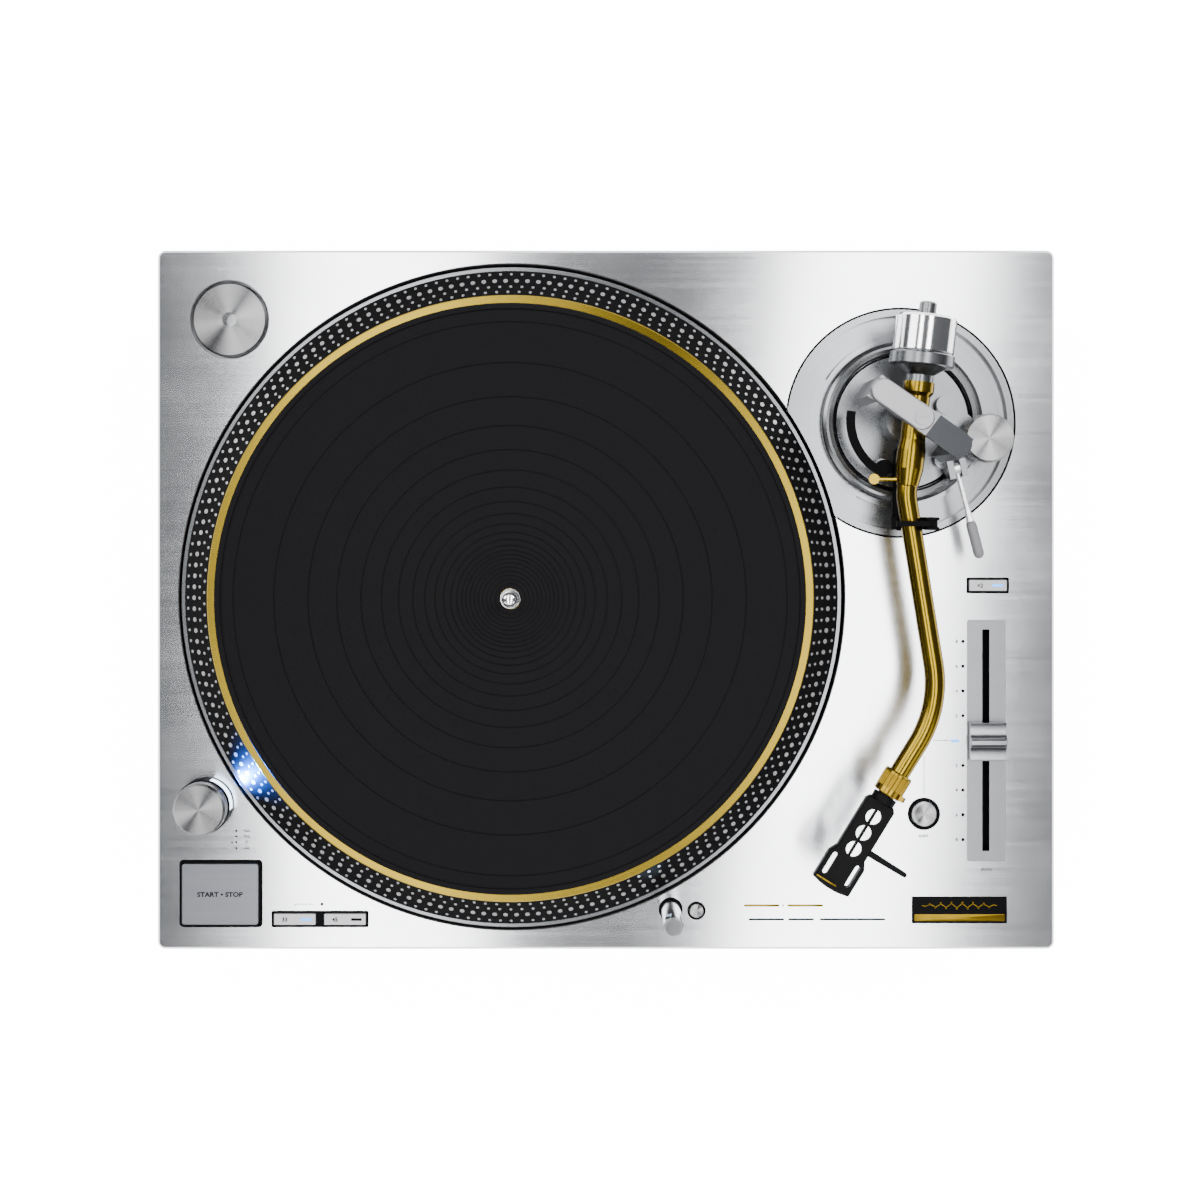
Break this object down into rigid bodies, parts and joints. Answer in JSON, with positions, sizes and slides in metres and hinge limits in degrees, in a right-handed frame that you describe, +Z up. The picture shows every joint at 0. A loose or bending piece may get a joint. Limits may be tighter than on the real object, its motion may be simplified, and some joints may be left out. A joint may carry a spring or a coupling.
{
  "type": "turntable record player",
  "caption": "Direct-drive record player: a heavy case on screw feet, a strobe-dotted platter with mat and spindle, an S-shaped gimballed tonearm, and press, turn and slide controls.",
  "frame": {"origin": "on the floor, under the middle of the deck", "axes": "+X to the right and +Y to the rear as seen from the front, +Z up"},
  "size_m": [0.453, 0.353, 0.1656],
  "materials": {
    "deck": "brushed, clear",
    "case": "satin paint over casting",
    "base": "matte moulded rubber",
    "steel": "zinc",
    "foot": "ribbed housing",
    "platter": "black cone with bright dots and a bright lip",
    "brass": "satin brass",
    "mat": "grooved rubber",
    "damper": "matte",
    "magnet": "sintered",
    "chrome": "polished",
    "copper": "enamelled wire",
    "black_trim": "fine matte",
    "button": "satin, spun on round tops",
    "lens": "clear",
    "gold": "gold plate",
    "board": "solder mask",
    "arm_metal": "satin",
    "arm_gold": "gold anodised",
    "shell_black": "black satin"
  },
  "bodies": {
    "case": {"top_panel": "deck", "chassis": "case", "rubber_base": "base", "base_screws": "steel", "bearing_housing": "brass", "motor_coils": "copper", "button_frames": "black_trim", "strobe_tower": "button", "strobe_window": "lens", "pitch_plate": "button", "pitch_rail": "black_trim", "lamp_sleeve": "black_trim", "name_plate": "black_trim", "terminal_panel": "black_trim", "rca_jacks": "gold", "ground_terminal": "gold", "ac_inlet": "black_trim", "hinge_sockets": "black_trim", "control_board": "board", "power_supply": "board", "arm_base": "arm_metal"},
    "platter": {"platter": "platter", "platter_brass": "brass", "platter_mat": "mat", "platter_damper": "damper", "rotor_magnet": "magnet", "spindle": "chrome"},
    "power_knob": {"power_knob": "button"},
    "start_stop_button": {"start_stop_button": "button"},
    "speed_33_button": {"speed_33_button": "button"},
    "speed_45_button": {"speed_45_button": "button"},
    "range_button": {"range_button": "button"},
    "reset_button": {"reset_button": "button"},
    "lamp_button": {"lamp_button": "button"},
    "target_lamp": {"target_lamp": "button"},
    "pitch_knob": {"pitch_knob": "button"},
    "adaptor_45": {"adaptor_45": "button"},
    "foot_front_left": {"foot_front_left": "foot"},
    "foot_front_right": {"foot_front_right": "foot"},
    "foot_rear_left": {"foot_rear_left": "foot"},
    "foot_rear_right": {"foot_rear_right": "foot"},
    "height_ring": {"height_ring": "arm_metal"},
    "arm_platform": {"arm_platform": "arm_metal", "arm_yoke": "arm_metal", "antiskate_base": "arm_metal", "arm_rest": "black_trim"},
    "antiskate_knob": {"antiskate_knob": "arm_metal"},
    "cue_lever": {"cue_lever": "chrome"},
    "cue_lifter": {"cue_lifter": "black_trim"},
    "arm_clamp": {"arm_clamp": "black_trim"},
    "gimbal": {"gimbal_ring": "arm_metal"},
    "arm": {"arm_barrel": "arm_gold", "arm_tube": "arm_gold", "rear_shaft": "arm_metal"},
    "weight_bush": {"weight_bush": "black_trim"},
    "counterweight": {"counterweight": "chrome"},
    "force_dial": {"force_dial": "arm_metal"},
    "locking_collar": {"locking_collar": "arm_gold"},
    "headshell": {"headshell": "shell_black", "finger_lift": "shell_black"}
  },
  "joints": [
    {"name": "platter_spin", "type": "hinge", "parent": "case", "child": "platter", "pos_m": [-0.0475, 0.0015, 0.106], "axis": [0, 0, 1], "continuous": true},
    {"name": "power_turn", "type": "hinge", "parent": "case", "child": "power_knob", "pos_m": [-0.2016, -0.103, 0.12], "axis": [0, 0, 1], "range_deg": [0, 45]},
    {"name": "start_stop_press", "type": "slide", "parent": "case", "child": "start_stop_button", "axis": [0, 0, -1], "range_m": [0, 0.0018], "stiffness_N_per_m": 400, "springref_m": -0.0005},
    {"name": "speed_33_press", "type": "slide", "parent": "case", "child": "speed_33_button", "axis": [0, 0, -1], "range_m": [0, 0.001], "stiffness_N_per_m": 400, "springref_m": -0.0005},
    {"name": "speed_45_press", "type": "slide", "parent": "case", "child": "speed_45_button", "axis": [0, 0, -1], "range_m": [0, 0.001], "stiffness_N_per_m": 400, "springref_m": -0.0005},
    {"name": "range_press", "type": "slide", "parent": "case", "child": "range_button", "axis": [0, 0, -1], "range_m": [0, 0.001], "stiffness_N_per_m": 400, "springref_m": -0.0005},
    {"name": "reset_press", "type": "slide", "parent": "case", "child": "reset_button", "axis": [0, 0, -1], "range_m": [0, 0.0012], "stiffness_N_per_m": 400, "springref_m": -0.0005},
    {"name": "lamp_button_press", "type": "slide", "parent": "case", "child": "lamp_button", "axis": [0, 0, -1], "range_m": [0, 0.0012], "stiffness_N_per_m": 400, "springref_m": -0.0005},
    {"name": "lamp_drop", "type": "slide", "parent": "case", "child": "target_lamp", "axis": [0, 0, -1], "range_m": [0, 0.022], "stiffness_N_per_m": 20, "springref_m": -0.03},
    {"name": "pitch_slide", "type": "slide", "parent": "case", "child": "pitch_knob", "axis": [0, -1, 0], "range_m": [-0.046, 0.046]},
    {"name": "adaptor_lift", "type": "slide", "parent": "case", "child": "adaptor_45", "axis": [0, 0, 1], "range_m": [0, 0.02]},
    {"name": "foot_front_left_screw", "type": "slide", "parent": "case", "child": "foot_front_left", "axis": [0, 0, -1], "range_m": [0, 0.005]},
    {"name": "foot_front_right_screw", "type": "slide", "parent": "case", "child": "foot_front_right", "axis": [0, 0, -1], "range_m": [0, 0.005]},
    {"name": "foot_rear_left_screw", "type": "slide", "parent": "case", "child": "foot_rear_left", "axis": [0, 0, -1], "range_m": [0, 0.005]},
    {"name": "foot_rear_right_screw", "type": "slide", "parent": "case", "child": "foot_rear_right", "axis": [0, 0, -1], "range_m": [0, 0.005]},
    {"name": "arm_height", "type": "slide", "parent": "case", "child": "arm_platform", "axis": [0, 0, 1], "range_m": [0, 0.006]},
    {"name": "height_ring_turn", "type": "hinge", "parent": "case", "child": "height_ring", "pos_m": [0.14871, 0.08939, 0.11], "axis": [0, 0, 1], "range_deg": [0, 240]},
    {"name": "antiskate_turn", "type": "hinge", "parent": "arm_platform", "child": "antiskate_knob", "pos_m": [0.18701, 0.08069, 0.131], "axis": [0, 0, -1], "range_deg": [0, 210]},
    {"name": "cue_lever_tip", "type": "hinge", "parent": "arm_platform", "child": "cue_lever", "pos_m": [0.17321, 0.06589, 0.124], "axis": [-0.9738, -0.2275, 0], "range_deg": [0, 45]},
    {"name": "cue_lift", "type": "slide", "parent": "arm_platform", "child": "cue_lifter", "axis": [0, 0, 1], "range_m": [0, 0.004]},
    {"name": "clamp_open", "type": "hinge", "parent": "arm_platform", "child": "arm_clamp", "pos_m": [0.15536, 0.03909, 0.1567], "axis": [0, 1, 0], "range_deg": [0, 100]},
    {"name": "arm_swing", "type": "hinge", "parent": "arm_platform", "child": "gimbal", "pos_m": [0.14871, 0.08939, 0.146], "axis": [0, 0, -1], "range_deg": [0, 45]},
    {"name": "arm_lift", "type": "hinge", "parent": "gimbal", "child": "arm", "pos_m": [0.14871, 0.08939, 0.146], "axis": [-0.8192, 0.5736, 0], "range_deg": [-1.5, 5]},
    {"name": "weight_shift", "type": "slide", "parent": "arm", "child": "weight_bush", "axis": [0.1149, 0.9934, 0], "range_m": [0, 0.01]},
    {"name": "weight_turn", "type": "hinge", "parent": "weight_bush", "child": "counterweight", "pos_m": [0.15331, 0.12913, 0.146], "axis": [0.1149, 0.9934, 0], "range_deg": [-1800, 0]},
    {"name": "dial_turn", "type": "hinge", "parent": "counterweight", "child": "force_dial", "pos_m": [0.15193, 0.11721, 0.146], "axis": [0.1149, 0.9934, 0], "range_deg": [-180, 180]},
    {"name": "collar_turn", "type": "hinge", "parent": "arm", "child": "locking_collar", "pos_m": [0.13833, -0.08578, 0.146], "axis": [-0.524, -0.8517, 0], "range_deg": [0, 60]},
    {"name": "headshell_pull", "type": "slide", "parent": "arm", "child": "headshell", "axis": [-0.524, -0.8517, 0], "range_m": [0, 0.012]}
  ],
  "couplings": [
    {"joint": "height_ring_turn", "follows": "arm_height", "rad_per_m": 690},
    {"joint": "cue_lift", "follows": "cue_lever_tip", "m_per_rad": 0.00509},
    {"joint": "weight_turn", "follows": "weight_shift", "rad_per_m": -3141.6}
  ]
}
